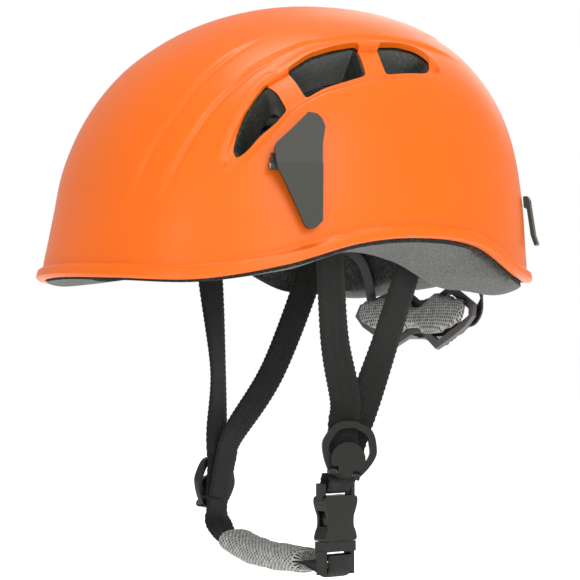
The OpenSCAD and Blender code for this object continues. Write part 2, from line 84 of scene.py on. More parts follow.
def densify(P, step=1.0, closed=False):
    P = np.array(P, float)
    Q = np.vstack([P, P[:1]]) if closed else P
    X = S(Q[:, 0], Q[:, 1])
    out = []
    for i in range(len(Q) - 1):
        n = max(1, int(np.linalg.norm(X[i + 1] - X[i]) / step))
        out += [Q[i] + (Q[i + 1] - Q[i]) * k / n for k in range(n)]
    out.append(Q[-1])
    return np.array(out)

def catmull(P, n, closed=False):
    P = np.array(P, float); m = len(P); out = []
    segs = m if closed else m - 1
    for i in range(segs):
        if closed:
            a, b, c, d = P[(i - 1) % m], P[i], P[(i + 1) % m], P[(i + 2) % m]
        else:
            a, b, c, d = P[max(i - 1, 0)], P[i], P[i + 1], P[min(i + 2, m - 1)]
        for k in range(n):
            u = k / n
            out.append(0.5 * (2 * b + (c - a) * u + (2 * a - 5 * b + 4 * c - d) * u * u + (3 * b - a - 3 * c + d) * u ** 3))
    if not closed:
        out.append(P[-1])
    return np.array(out)

def nearest(points, poly):
    """distance from each point (N,3) to the densified 3-D polyline"""
    kd = KDTree(len(poly))
    for i, p in enumerate(poly):
        kd.insert(p, i)
    kd.balance()
    return np.array([kd.find(p)[2] for p in points])

def inside(tz, poly):
    x, y = tz[..., 0], tz[..., 1]
    r = np.zeros(x.shape, bool)
    n = len(poly)
    for i in range(n):
        x0, y0 = poly[i]; x1, y1 = poly[(i + 1) % n]
        if y0 == y1:
            continue
        c = (y0 > y) != (y1 > y)
        r ^= c & (x < (x1 - x0) * (y - y0) / (y1 - y0) + x0)
    return r

VENT1 = [[45, 58], [45.2, 65.5], [46.2, 76.5], [48.2, 85.5], [50.8, 91.5], [54, 88], [57.5, 79.5], [54.8, 72.5], [51.2, 65.5], [48.5, 58], [46.2, 54]]
VENT2 = [[55.8, 99.5], [62.2, 106], [70.5, 110.5], [80.2, 113.5], [81.8, 108], [83, 101.5], [82.8, 99.5], [75.5, 96], [68.2, 92], [62.5, 86], [59.2, 93]]
VENT3 = [[89.5, 114], [99.5, 115], [107.5, 114], [112.2, 112], [114, 109], [112.2, 105.5], [110, 103.5], [100.8, 102.5], [91.5, 101], [90, 107.5]]
RIDGE1 = [(20, 24), (22, 40.5), (23.5, 53), (25, 63.5), (28, 78.5), (30, 90.5), (33, 101.5), (38, 112.5), (48, 124)]
CROWN = [(28, 28), (30.5, 44.5), (32, 55.5), (34, 67), (37, 81), (41, 93), (46.5, 104.5), (58.5, 115.5), (69, 118.6), (84, 121.5), (99.5, 121.5), (115, 120), (125.5, 117), (136, 112)]
LIP = [(43, 54), (44, 66.5), (46.5, 80.5), (50, 93), (55.5, 100.5), (62, 108), (69, 112), (82, 116), (96, 117), (109.5, 115.5), (116.5, 113), (118.5, 109)]
LOW = [(117, 104), (110, 101.5), (100, 100), (90, 98), (82, 96), (74, 92.5), (67, 88.5), (61, 82), (58, 76), (55, 69), (51.5, 60), (48, 52), (44.5, 48)]

# ------------------------------------------------------------------ mesh helpers
COL = bpy.context.scene.collection

def make_mesh(name, verts, faces, smooth_shade=True, unit=MM):
    me = bpy.data.meshes.new(name)
    me.from_pydata([tuple(v) for v in (np.asarray(verts, float) * unit)], [], faces)
    me.validate(); me.update()
    if smooth_shade:
        me.shade_smooth()
    o = bpy.data.objects.new(name, me)
    COL.objects.link(o)
    return o

def apply_all(o):
    dg = bpy.context.evaluated_depsgraph_get()
    me = bpy.data.meshes.new_from_object(o.evaluated_get(dg), preserve_all_data_layers=True, depsgraph=dg)
    old = o.data
    o.modifiers.clear()
    o.data = me
    bpy.data.meshes.remove(old)
    return o

def fix_normals(o):
    bm = bmesh.new(); bm.from_mesh(o.data)
    bmesh.ops.recalc_face_normals(bm, faces=bm.faces)
    bm.to_mesh(o.data); bm.free()

def sharp(o, deg=40):
    o.data.shade_smooth()
    o.data.set_sharp_from_angle(angle=math.radians(deg))

def grid_faces(nr, nc, closed=True, base=0, flip=False):
    F = []
    m = nc if closed else nc - 1
    for j in range(nr - 1):
        for i in range(m):
            a = base + j * nc + i; b = base + j * nc + (i + 1) % nc; c = b + nc; d = a + nc
            F.append((a, d, c, b) if flip else (a, b, c, d))
    return F

def mirror_ob(o, name):
    me = o.data.copy(); me.name = name
    me.transform(Matrix.Diagonal((-1, 1, 1, 1))); me.flip_normals()
    n = bpy.data.objects.new(name, me); COL.objects.link(n)
    return n

def cutter(L, k0=0.62, k1=1.12, grow=0.0):
    """solid through the wall over a smooth outline, moved with the recess so that it keeps its outline from the side"""
    P = np.array(L, float)
    O = S(P[:, 0], P[:, 1])
    if SINK:
        e = 0.5
        a = S(P[:, 0] + e, P[:, 1]) - O; b = S(P[:, 0], P[:, 1] + e) - O
        nn = np.cross(a, b); nn /= np.linalg.norm(nn, axis=1, keepdims=True)
        nn *= np.sign((nn * (O - [0, 8, 40])).sum(1, keepdims=True))
        c = np.array([0.866, -0.5, 0.0])
        dep = np.array([SINK['h'][SINK['kd'].find(p)[1]] for p in O])
        O = O + c * (dep / np.maximum((nn * c).sum(1), 0.42))[:, None] * 0.85
    if grow:
        mid = O.mean(0)
        d = O - mid
        O = O + d / np.linalg.norm(d, axis=1, keepdims=True) * grow
    # cut the corners of the outline round
    n = len(O); out = []
    for i in range(n):
        a, b, c = O[i - 1], O[i], O[(i + 1) % n]
        la, lc = np.linalg.norm(a - b), np.linalg.norm(c - b)
        r = min(2.2, la * 0.45, lc * 0.45)
        p, q = b + (a - b) / la * r, b + (c - b) / lc * r
        out += [p, 0.25 * p + 0.5 * b + 0.25 * q, q]
    O = np.array(out)
    C = np.array([0, 8, 40.0])
    n = len(O)
    V = np.vstack([C + (O - C) * k1, C + (O - C) * k0])
    F = [tuple(range(n)), tuple(range(2 * n - 1, n - 1, -1))] + [(i, n + i, n + (i + 1) % n, (i + 1) % n) for i in range(n)]
    o = make_mesh("cut", V, F, False)
    bm = bmesh.new(); bm.from_mesh(o.data); bmesh.ops.triangulate(bm, faces=bm.faces); bmesh.ops.recalc_face_normals(bm, faces=bm.faces); bm.to_mesh(o.data); bm.free()
    return o

SINK = {}

def cut(o, cutters):
    for c in cutters:
        m = o.modifiers.new("b", "BOOLEAN"); m.operation = "DIFFERENCE"; m.object = c
        m.solver = "MANIFOLD" if "MANIFOLD" in m.bl_rna.properties["solver"].enum_items else "EXACT"
    bpy.context.view_layer.update()
    apply_all(o)
    for c in cutters:
        me = c.data; bpy.data.objects.remove(c); bpy.data.meshes.remove(me)
    return o

# ------------------------------------------------------------------ materials
def mat(name, color, rough=0.5, spec=0.5, sheen=0.0, coat=0.0):
    m = bpy.data.materials.new(name); m.use_nodes = True
    b = m.node_tree.nodes["Principled BSDF"]
    b.inputs["Base Color"].default_value = (*color, 1)
    b.inputs["Roughness"].default_value = rough
    b.inputs["Specular IOR Level"].default_value = spec
    b.inputs["Sheen Weight"].default_value = sheen
    b.inputs["Coat Weight"].default_value = coat
    return m

def N(m, kind, **kw):
    n = m.node_tree.nodes.new(kind)
    for k, v in kw.items():
        if k.startswith("_"):
            n.inputs[k[1:]].default_value = v
        else:
            setattr(n, k, v)
    return n

def link(m, a, b):
    m.node_tree.links.new(a, b)

def bsdf(m):
    return m.node_tree.nodes["Principled BSDF"]

def noise(m, vec, scale, detail=3, rough=0.55):
    n = N(m, "ShaderNodeTexNoise"); n.inputs["Scale"].default_value = scale
    n.inputs["Detail"].default_value = detail; n.inputs["Roughness"].default_value = rough
    link(m, vec, n.inputs["Vector"])
    return n

def ramp(m, fac, stops):
    r = N(m, "ShaderNodeValToRGB")
    e = r.color_ramp.elements
    while len(e) < len(stops):
        e.new(0.5)
    for el, (p, c) in zip(e, stops):
        el.position = p; el.color = (*c, 1) if len(c) == 3 else c
    link(m, fac, r.inputs["Fac"])
    return r

def math_node(m, op, a, b=None):
    n = N(m, "ShaderNodeMath", operation=op)
    for i, v in enumerate((a, b)):
        if v is None:
            continue
        if isinstance(v, (int, float)):
            n.inputs[i].default_value = v
        else:
            link(m, v, n.inputs[i])
    return n.outputs[0]

def bump(m, height, dist=0.0002, strength=0.6, prev=None):
    b = N(m, "ShaderNodeBump"); b.inputs["Strength"].default_value = strength; b.inputs["Distance"].default_value = dist
    link(m, height, b.inputs["Height"])
    if prev is not None:
        link(m, prev, b.inputs["Normal"])
    return b.outputs["Normal"]

def obj_coords(m):
    return N(m, "ShaderNodeTexCoord").outputs["Object"]

def moulded(name, color, rough, grain=900, dist=0.00006, strength=0.35, vary=0.12, spec=0.5, scuff=0.0):
    """moulded plastic: fine grain, slight colour and gloss variation, faint scuffs"""
    m = mat(name, color, rough, spec)
    v = obj_coords(m)
    n1 = noise(m, v, 14, 4)
    lo = tuple(c * (1 - vary) for c in color); hi = tuple(min(1, c * (1 + vary)) for c in color)
    r = ramp(m, n1.outputs["Fac"], [(0.3, lo), (0.7, hi)])
    col = r.outputs["Color"]
    if scuff:
        n3 = noise(m, v, 60, 6, 0.7)
        r3 = ramp(m, n3.outputs["Fac"], [(0.62, (0, 0, 0)), (0.74, (1, 1, 1))])
        mx = N(m, "ShaderNodeMix", data_type="RGBA")
        link(m, math_node(m, "MULTIPLY", r3.outputs["Color"], scuff), mx.inputs[0])
        link(m, col, mx.inputs[6]); mx.inputs[7].default_value = (*[min(1, c * 1.6 + 0.03) for c in color], 1)
        col = mx.outputs[2]
    link(m, col, bsdf(m).inputs["Base Color"])
    n2 = noise(m, v, grain, 2, 0.5)
    rr = ramp(m, n1.outputs["Fac"], [(0.3, (rough * 0.92,) * 3), (0.7, (min(1, rough * 1.1),) * 3)])
    link(m, rr.outputs["Color"], bsdf(m).inputs["Roughness"])
    link(m, bump(m, n2.outputs["Fac"], dist, strength), bsdf(m).inputs["Normal"])
    return m

def m_shell():
    m = moulded("shell_orange", (0.73, 0.122, 0.0015), 0.37, grain=1500, dist=0.00004, strength=0.2, vary=0.03, spec=0.32)
    bsdf(m).inputs["Coat Weight"].default_value = 0.0
    bsdf(m).inputs["Coat Roughness"].default_value = 0.35
    bsdf(m).inputs["Subsurface Weight"].default_value = 0.0
    return m

def m_foam():
    m = mat("bead_foam", (0.02, 0.02, 0.02), 0.75, 0.3)
    v = obj_coords(m)
    vo = N(m, "ShaderNodeTexVoronoi"); vo.inputs["Scale"].default_value = 380; link(m, v, vo.inputs["Vector"])
    vo2 = N(m, "ShaderNodeTexVoronoi"); vo2.feature = "DISTANCE_TO_EDGE"; vo2.inputs["Scale"].default_value = 380; link(m, v, vo2.inputs["Vector"])
    n = noise(m, v, 900, 3, 0.7)
    r = ramp(m, n.outputs["Fac"], [(0.35, (0.018, 0.019, 0.016)), (0.56, (0.045, 0.046, 0.04)), (0.72, (0.13, 0.13, 0.12))])
    mx = N(m, "ShaderNodeMix", data_type="RGBA", blend_type="MULTIPLY"); mx.inputs[0].default_value = 0.55
    link(m, r.outputs["Color"], mx.inputs[6]); link(m, vo.outputs["Color"], mx.inputs[7])
    # faces that point downwards are mixed to a lighter grey: painted light on the underside
    sn = N(m, "ShaderNodeSeparateXYZ"); link(m, N(m, "ShaderNodeTexCoord").outputs["Normal"], sn.inputs[0])
    dn = ramp(m, math_node(m, "MULTIPLY", sn.outputs["Z"], -1.0), [(0.25, (0, 0, 0)), (0.7, (1, 1, 1))])
    lt = N(m, "ShaderNodeMix", data_type="RGBA")
    link(m, dn.outputs["Color"], lt.inputs[0]); link(m, mx.outputs[2], lt.inputs[6])
    painted_underside_grey = ramp(m, n.outputs["Fac"], [(0.3, (0.075, 0.078, 0.07)), (0.7, (0.16, 0.165, 0.155))]); link(m, painted_underside_grey.outputs["Color"], lt.inputs[7])
    link(m, lt.outputs[2], bsdf(m).inputs["Base Color"])
    e = ramp(m, vo2.outputs["Distance"], [(0.0, (0, 0, 0)), (0.12, (1, 1, 1))])
    link(m, bump(m, e.outputs["Color"], 0.0003, 0.5), bsdf(m).inputs["Normal"])
    return m

def m_webbing(name="webbing", base=(0.0062, 0.0062, 0.0052)):
    """herringbone webbing; UV is in millimetres: u across, v along"""
    m = mat(name, base, 0.62, 0.25, sheen=0.10)
    bsdf(m).inputs["Sheen Roughness"].default_value = 0.4
    uv = N(m, "ShaderNodeUVMap"); uv.uv_map = "UVMap"
    sep = N(m, "ShaderNodeSeparateXYZ"); link(m, uv.outputs["UV"], sep.inputs[0])
    u, v = sep.outputs["X"], sep.outputs["Y"]
    # ribs along the length, slanted into a herringbone about the middle
    absu = math_node(m, "ABSOLUTE", u)
    zig = math_node(m, "ADD", v, math_node(m, "MULTIPLY", math_node(m, "PINGPONG", absu, 2.6), 1.5))
    w1 = math_node(m, "SINE", math_node(m, "MULTIPLY", zig, 2 * math.pi / 1.5))
    w2 = math_node(m, "SINE", math_node(m, "MULTIPLY", u, 2 * math.pi / 0.62))
    h = math_node(m, "ADD", math_node(m, "MULTIPLY", w1, 0.55), math_node(m, "MULTIPLY", w2, 0.45))
    link(m, bump(m, h, 0.00022, 0.8), bsdf(m).inputs["Normal"])
    # colour follows the rib height h: painted shade in the grooves, painted highlight on the rib crests
    c = ramp(m, math_node(m, "ADD", math_node(m, "MULTIPLY", h, 0.5), 0.5), [(0.15, tuple(x * 0.45 for x in base)), (0.6, base), (0.95, tuple(x * 2.8 + 0.003 for x in base))])
    nz = noise(m, obj_coords(m), 90, 3)
    mx = N(m, "ShaderNodeMix", data_type="RGBA", blend_type="MULTIPLY"); mx.inputs[0].default_value = 0.4
    link(m, c.outputs["Color"], mx.inputs[6])
    rr = ramp(m, nz.outputs["Fac"], [(0.3, (0.6, 0.6, 0.6)), (0.7, (1.3, 1.3, 1.3))]); link(m, rr.outputs["Color"], mx.inputs[7])
    link(m, mx.outputs[2], bsdf(m).inputs["Base Color"])
    return m

def m_mesh(name="spacer_mesh", base=(0.40, 0.40, 0.38), hole=(0.018, 0.018, 0.018), cell=(2.1, 3.4)):
    """spacer mesh: staggered elongated holes; the attribute pad_uv is in millimetres"""
    m = mat(name, base, 0.85, 0.2, sheen=0.15)
    at = N(m, "ShaderNodeAttribute"); at.attribute_name = "pad_uv"; at.attribute_type = "GEOMETRY"
    sep = N(m, "ShaderNodeSeparateXYZ"); link(m, at.outputs["Vector"], sep.inputs[0])
    cu, cv = cell
    row = math_node(m, "FLOOR", math_node(m, "DIVIDE", sep.outputs["Y"], cv / 2))
    odd = math_node(m, "MODULO", math_node(m, "ABSOLUTE", row), 2)
    fu = math_node(m, "SUBTRACT", math_node(m, "FRACT", math_node(m, "ADD", math_node(m, "DIVIDE", sep.outputs["X"], cu), math_node(m, "MULTIPLY", odd, 0.5))), 0.5)
    fv = math_node(m, "SUBTRACT", math_node(m, "FRACT", math_node(m, "DIVIDE", sep.outputs["Y"], cv / 2)), 0.5)
    d = math_node(m, "SQRT", math_node(m, "ADD", math_node(m, "POWER", math_node(m, "MULTIPLY", fu, 2.0), 2), math_node(m, "POWER", math_node(m, "MULTIPLY", fv, 1.55), 2)))
    nz = noise(m, obj_coords(m), 420, 3, 0.6)
    d2 = math_node(m, "ADD", d, math_node(m, "MULTIPLY", math_node(m, "SUBTRACT", nz.outputs["Fac"], 0.5), 0.35))
    mask = ramp(m, d2, [(0.38, (0, 0, 0)), (0.56, (1, 1, 1))])
    yarn = ramp(m, nz.outputs["Fac"], [(0.3, tuple(x * 0.6 for x in base)), (0.7, tuple(min(1, x * 1.35) for x in base))])
    # the holes are not cut: they are painted near-black, as painted shade of the depth inside the mesh
    mx = N(m, "ShaderNodeMix", data_type="RGBA"); mx.inputs[6].default_value = (*hole, 1)
    link(m, mask.outputs["Color"], mx.inputs[0]); link(m, yarn.outputs["Color"], mx.inputs[7])
    link(m, mx.outputs[2], bsdf(m).inputs["Base Color"])
    b1 = bump(m, mask.outputs["Color"], 0.0009, 0.8)
    link(m, bump(m, nz.outputs["Fac"], 0.0002, 0.5, b1), bsdf(m).inputs["Normal"])
    return m

M = {
    "shell": m_shell(), "foam": m_foam(), "web": m_webbing(), "mesh": m_mesh(),
    "mesh_dark": m_mesh("comfort_mesh", (0.05, 0.05, 0.048), (0.006, 0.006, 0.006), (2.4, 3.6)),
    "clip": moulded("clip_grey", (0.030, 0.030, 0.023), 0.42, 1200, 0.00006, 0.4, 0.10, 0.35, scuff=0.25),
    "buckle": moulded("buckle_charcoal", (0.0075, 0.008, 0.006), 0.38, 1100, 0.00006, 0.4, 0.14, 0.32, scuff=0.2),
    "nape": moulded("nape_grey", (0.115, 0.105, 0.104), 0.42, 1100, 0.00005, 0.35, 0.08, 0.5, scuff=0.15),
    "black": moulded("black_plastic", (0.009, 0.009, 0.0085), 0.45, 1100, 0.00005, 0.35, 0.12, 0.5, scuff=0.15),
    "steel": moulded("dark_steel", (0.16, 0.16, 0.16), 0.32, 1500, 0.00003, 0.25, 0.1, 0.6),
}
bsdf(M["steel"]).inputs["Metallic"].default_value = 1.0

def dress(o, m):
    o.data.materials.clear()
    o.data.materials.append(m)
    return o

# ------------------------------------------------------------------ shell
def build_shell():
    # bearings: finer round the vents
    side = [0.0]
    while side[-1] < 180:
        t = side[-1]
        side.append(t + (0.36 if 24 <= t < 122 else 0.8))
    side = np.array(side[:-1] + [180.0])
    T = np.concatenate([side, 360 - side[-2:0:-1]])
    Ts = np.where(T > 180, T - 360, T); Ta = np.abs(Ts)
    zr = curve_at(T, RIM)
    # row positions as heights above the rim, finer between 48 and 124 mm
    zs = []
    z = 0.0
    while z < 47: zs.append(z); z += 1.1 if (z < 12) else 1.8
    while z < 124: zs.append(z); z += 0.62
    # towards the apex, steps in the profile's own measure
    zs = np.array(zs)
    n_low = len(zs)
    pr0 = (1 - ((zs[-1] - ZB) / (H - ZB)) ** PW) ** PE
    pr = np.linspace(pr0, 0.0, 46)[1:-1]
    ztop = ZB + (H - ZB) * (1 - pr ** (1 / PE)) ** (1 / PW)
    Z = np.empty((n_low + len(ztop), len(T)))
    for j, q in enumerate(zs):
        k = min(q / 47.0, 1.0)
        Z[j] = (zr + (47 - zr) * k) if q < 47 else q
    Z[n_low:] = ztop[:, None]
    TT = np.broadcast_to(T, Z.shape)
    G = S(TT, Z)
    Nn = normals_of(G)
    if Nn[5, 0] @ np.array([0, -1, 0]) < 0: Nn = -Nn
    tz = np.stack([np.broadcast_to(Ta, Z.shape), Z], -1)
    P = G.reshape(-1, 3).copy(); P[:, 0] = np.abs(P[:, 0])
    def dist(line, closed=False):
        q = densify(line, 0.25, closed)
        return nearest(P, S(q[:, 0], q[:, 1])).reshape(Z.shape)
    h = np.zeros(Z.shape)
    # crown panel, raised inside the second ridge line
    lineC = catmull(CROWN, 6)
    crown_poly = list(map(tuple, lineC)) + [(136, 112), (150, 100), (190, 92), (190, 160), (-10, 160), (-10, -20), (26, -20)]
    inC = inside(tz, crown_poly)
    dC = dist(lineC)
    sC = np.where(inC, dC, -dC)
    fadeC = smooth((Z - 30) / 26) * (1 - smooth((tz[..., 0] - 118) / 22) * (Z < 126))
    amp = 1.35
    h += amp * (smooth(sC / 3.4 + 0.5) - 0.5) * fadeC - 0.55 * np.exp(-((sC + 1.8) / 1.3) ** 2) * fadeC * (1 - smooth((Z - 100) / 12))
    # first ridge, softer
    line1 = catmull(RIDGE1, 6)
    poly1 = list(map(tuple, line1)) + [(48, 160), (-10, 160), (-10, -20), (18, -20)]
    in1 = inside(tz, poly1); d1 = dist(line1); s1 = np.where(in1, d1, -d1)
    fade1 = smooth((Z - 26) / 26) * (1 - smooth((Z - 104) / 18))
    h += 0.9 * (smooth(s1 / 3.6 + 0.5) - 0.5) * fade1 - 0.42 * np.exp(-((s1 + 1.8) / 1.3) ** 2) * fade1
    # recess that holds the vents
    lip = catmull(LIP, 6); low = catmull(LOW, 5)
    poly = np.vstack([lip, low])
    inR = inside(tz, list(map(tuple, poly)))
    dl = dist(lip); dlow = dist(low)
    s = np.where(inR, dl, -dl)
    tt = tz[..., 0]
    depth = 6.2 * smooth((tt - 42) / 13) * (1 - 0.6 * smooth((tt - 102) / 16)) + 0.6
    frac = np.clip(dlow / (dlow + dl + 1e-6), 0, 1)
    inner = smooth(np.clip(dl / 2.0, 0, 1)) * frac ** 0.62
    h -= np.where(inR, depth * inner, 0)
    # the crown stands proud as a rounded brow just above the lip
    brow = np.where(~inR & (tt > 44) & (tt < 122), np.exp(-((dl - 2.5) / 3.0) ** 2), 0) * smooth((tt - 46) / 14) * (1 - smooth((tt - 108) / 14)) * (Z > 60)
    h += 1.1 * brow
    # soft halo round the front vent
    halo = np.where(inR | (tt > 62), 0, np.exp(-((dl - 3.2) / 2.2) ** 2)) * (Z < 100) * smooth((Z - 44) / 8)
    h += 0.5 * halo
    # rolled edges round each vent
    for v in (VENT1, VENT2, VENT3):
        dv = dist(v, True)
        h -= 0.25 * np.exp(-(dv / 1.2) ** 2)
    # rolled bead along the rim
    hr = Z - zr
    bead = 1.9 * (1 - smooth((hr - 5.0) / 1.9)) * smooth(hr / 1.6 + 0.35) - 0.35 * np.exp(-((hr - 7.6) / 1.6) ** 2)
    h += bead
    keep = (Ta[None, :] > 36) & (Ta[None, :] < 126) & (T[None, :] < 180) & (Z > 44) & (Z < 124)
    pts = G[keep]; kd = KDTree(len(pts))
    for i, p in enumerate(pts): kd.insert(p, i)
    kd.balance()
    SINK['kd'] = kd; SINK['h'] = h[keep]
    G = G + Nn * h[..., None]
    nr, nc = Z.shape
    apex = np.array([0, YS, H + 0.5 * amp])
    # inner skin
    Zi = []
    hs = np.linspace(0, 1, 26)[:-1]
    hin = H - 3.0
    for k in hs:
        g = 1 - (1 - k) ** 1.7
        Zi.append(zr + (hin - zr) * g)
    Zi = np.array(Zi)
    Gi = S(np.broadcast_to(T, Zi.shape), Zi, 3.0)
    # rec is an all-zero array that is not used
    rec = np.zeros(Zi.shape)
    V = np.vstack([G.reshape(-1, 3), apex[None], Gi.reshape(-1, 3), np.array([[0, YS, hin]])])
    F = grid_faces(nr, nc)
    a0 = nr * nc
    F += [((nr - 1) * nc + i, (nr - 1) * nc + (i + 1) % nc, a0) for i in range(nc)]
    base = a0 + 1; ni = len(hs)
    F += grid_faces(ni, nc, True, base, True)
    F += [(base + (ni - 1) * nc + (i + 1) % nc, base + (ni - 1) * nc + i, base + ni * nc) for i in range(nc)]
    F += [(i, base + i, base + (i + 1) % nc, (i + 1) % nc) for i in range(nc)]
    o = make_mesh("shell_skin", V, F)
    fix_normals(o)
    cs = []
    for v in (VENT1, VENT2, VENT3):
        c = cutter(v); cs.append(c); cs.append(mirror_ob(c, "cutm"))
    cut(o, cs)
    sharp(o, 38)
    o.name = "shell_skin"
    dress(o, M["shell"])
    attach(o, "helmet"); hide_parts("shell")
    return o

shell = build_shell()

# ------------------------------------------------------------------ foam liner
def build_liner():
    T = np.arange(0, 360, 1.5)
    near0 = np.exp(-((((T + 180) % 360) - 180) / 62) ** 4)
    zo = curve_at(T, RIM) - 2.2 + 1.0 * near0; zi = curve_at(T, RIM_IN) + 5.0 * near0
    d0, d1 = 4.2, 24.0
    rows = []
    hs = 1 - (1 - np.linspace(0, 1, 40)[:-1]) ** 1.7
    outer = [S(T, zo + (H - d0 - zo) * g, d0) for g in hs]
    inner = [S(T, zi + (H - d1 - zi) * g, d1) for g in hs]
    # rounded bottom from the outer edge under to the inner one
    ta = np.abs(((T + 180) % 360) - 180)
    bulge = 0.3 + 5.2 * np.exp(-((ta - 142) / 17) ** 2)
    bottom = []
    for k in np.linspace(0, 1, 12)[1:-1]:
        z = zo + (zi - zo) * k - bulge * math.sin(math.pi * k) ** 0.7
        bottom.append(S(T, z, d0 + (d1 - d0) * k))
    ring = outer[::-1] + bottom + inner
    G = np.array(ring); nr, nc = G.shape[:2]
    V = np.vstack([G.reshape(-1, 3), [[0, YS, H - d0], [0, YS, H - d1]]])
    F = grid_faces(nr, nc, True, 0, True)
    F += [(i, (i + 1) % nc, nr * nc) for i in range(nc)]
    F += [((nr - 1) * nc + (i + 1) % nc, (nr - 1) * nc + i, nr * nc + 1) for i in range(nc)]
    o = make_mesh("foam_liner", V, F)
    fix_normals(o)
    cs = []
    for v in (VENT1, VENT2, VENT3):
        c = cutter(v, 0.6, 1.12, -1.2); cs.append(c); cs.append(mirror_ob(c, "cutm"))
    cut(o, cs)
    sharp(o, 40)
    o.name = "foam_liner"
    dress(o, M["foam"])
    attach(o, "helmet"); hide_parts("liner")
    return o

liner = build_liner()

# ------------------------------------------------------------------ webbing and flexible strips
def dv(pos, az, r, x, y, z):
    az, r = math.radians(az), math.radians(r)
    a = x * math.cos(r) - y * math.sin(r); b = x * math.sin(r) + y * math.cos(r)
    return [pos[0] + a * math.cos(az) + z * math.sin(az), pos[1] + a * math.sin(az) - z * math.cos(az), pos[2] + b]
def dl(x, y, z): return dv([67.2, -3, -98], 68, -13, x, y, z)
def dr(x, y, z):
    p = dv([65.4, -10, -122], 75, -8, x, y, z); return [-p[0], p[1], p[2]]
BK = np.array([59.0, -5.0, -127.0])
def bkp(x, y, z):
    a = math.radians(102)
    return [BK[0] + x * math.cos(a) + z * math.sin(a), BK[1] + x * math.sin(a) - z * math.cos(a), BK[2] + y]
DLW = [math.cos(math.radians(68)), math.sin(math.radians(68)), -0.2]
DRW = [-math.cos(math.radians(75)), math.sin(math.radians(75)), -0.12]
BKW = [math.cos(math.radians(102)), math.sin(math.radians(102)), 0]

def strip(name, P, W, w=16.0, th=1.5, step=0.8, scallop=0.22, pitch=2.9, across=14, edge=0.35, wave=0.0, seed=0):
    """webbing: a ribbon with beaded, slightly scalloped edges and a gentle wander"""
    P = np.array(P, float); W = np.array(W, float)
    n = 24
    Q = catmull(P, n); WW = catmull(W, n)
    seg = np.r_[0, np.cumsum(np.linalg.norm(np.diff(Q, axis=0), axis=1))]
    L = seg[-1]; k = int(L / step) + 1
    s = np.linspace(0, L, k)
    Q = np.stack([np.interp(s, seg, Q[:, i]) for i in range(3)], 1)
    WW = np.stack([np.interp(s, seg, WW[:, i]) for i in range(3)], 1)
    T = np.gradient(Q, axis=0); T /= np.linalg.norm(T, axis=1, keepdims=True)
    V = WW - T * (WW * T).sum(1, keepdims=True); V /= np.linalg.norm(V, axis=1, keepdims=True)
    Nn = np.cross(T, V)
    if wave:
        ph = seed * 1.7
        Q = Q + Nn * (wave * np.sin(s / 23 + ph) * np.sin(np.pi * s / L))[:, None]
    us = np.linspace(-1, 1, across)
    half = w / 2 + scallop * np.sin(2 * np.pi * s / pitch)
    prof = 1 - np.abs(us) ** 8 * (1 - edge)
    rows = []
    for i in range(k):
        top = [Q[i] + V[i] * half[i] * u + Nn[i] * th / 2 * p for u, p in zip(us, prof)]
        bot = [Q[i] + V[i] * half[i] * u - Nn[i] * th / 2 * p for u, p in zip(us[::-1], prof[::-1])]
        rows.append(top + bot)
    G = np.array(rows); nr, nc = G.shape[:2]
    F = grid_faces(nr, nc, True)
    F += [tuple(range(nc))[::-1], tuple(nc * (nr - 1) + i for i in range(nc))]
    o = make_mesh(name, G.reshape(-1, 3), F)
    uvu = np.concatenate([us, us[::-1]]) * w / 2
    uv = o.data.uv_layers.new(name="UVMap")
    vi = np.empty(len(o.data.loops), int); o.data.loops.foreach_get("vertex_index", vi)
    co = np.stack([uvu[vi % nc], s[np.minimum(vi // nc, nr - 1)]], 1)
    uv.data.foreach_set("uv", co.ravel().astype(np.float32))
    fix_normals(o)
    sharp(o, 55)
    return o

FSL = [[80.4, -21.3, 33.4], [77.2, -21, 31.5], [76.1, -20.6, 24], [76.9, -19.2, 8], [70.8, -12.6, -36], dl(-7.4, 30, -2.9), dl(-5.4, 17, -2.9), dl(-2.6, 5, -2.9), dl(-1, -3.4, -2.9)]
FSLW = [[0, 1, 0], [0, 1, 0], [0, 1, 0], [0, 1, 0], [0.1, 1, 0.15], DLW, DLW, DLW, DLW]
RSL = [[81, 39.8, 33.4], [77.8, 39, 31.5], [76.6, 38, 24], [74.6, 33.6, 10], [68.6, 20, -36.5], dl(3.4, 29, -5.6), dl(1.8, 17, -5), dl(0.6, 5, -4.9), dl(0, -3.4, -4.9)]
RSLW = [[-0.2, 1, 0], [-0.2, 1, 0], [-0.2, 1, -0.1], [-0.1, 1, -0.3], [0, 1, -0.35], DLW, DLW, DLW, DLW]
FSR = [[-81.5, -8, 33.4], [-78.3, -8, 31.5], [-77.2, -7.9, 24], [-77.4, -6, 2], [-72, -3.6, -54], dr(-4.6, 31, -2.9), dr(-1.8, 19, -2.9), dr(-0.8, 6, -2.9), dr(-0.5, -3.4, -2.9)]
FSRW = [[0, 1, 0], [0, 1, 0], [0, 1, 0], [0, 1, 0], [-0.5, 0.87, 0], DRW, DRW, DRW, DRW]
RSR = [[-73.6, 62.2, 33.4], [-70.2, 61.2, 31.5], [-69, 61, 24], [-69.4, 56.5, 4], [-68.6, 30.5, -54], dr(5, 33, -6), dr(1.8, 20, -5.4), dr(0.6, 6, -5), dr(0, -3.4, -4.9)]
RSRW = [[0.38, 0.92, 0], [0.38, 0.92, 0], [0.3, 0.95, -0.1], [0.2, 1, -0.4], [0, 1, -0.5], DRW, DRW, DRW, DRW]
LSL = [dl(0, -4.6, -3.8), dl(0, -8.6, -4.3), bkp(0, 16.8, 3.5), bkp(0, 14.6, 3), bkp(0, 12.4, 2.1), bkp(0, 11.6, 0), bkp(0, 12.4, -2.1), bkp(0, 14.6, -3), bkp(0, 18, -2.6), bkp(0, 21.4, -1.6)]
LSLW = [DLW, DLW] + [BKW] * 8
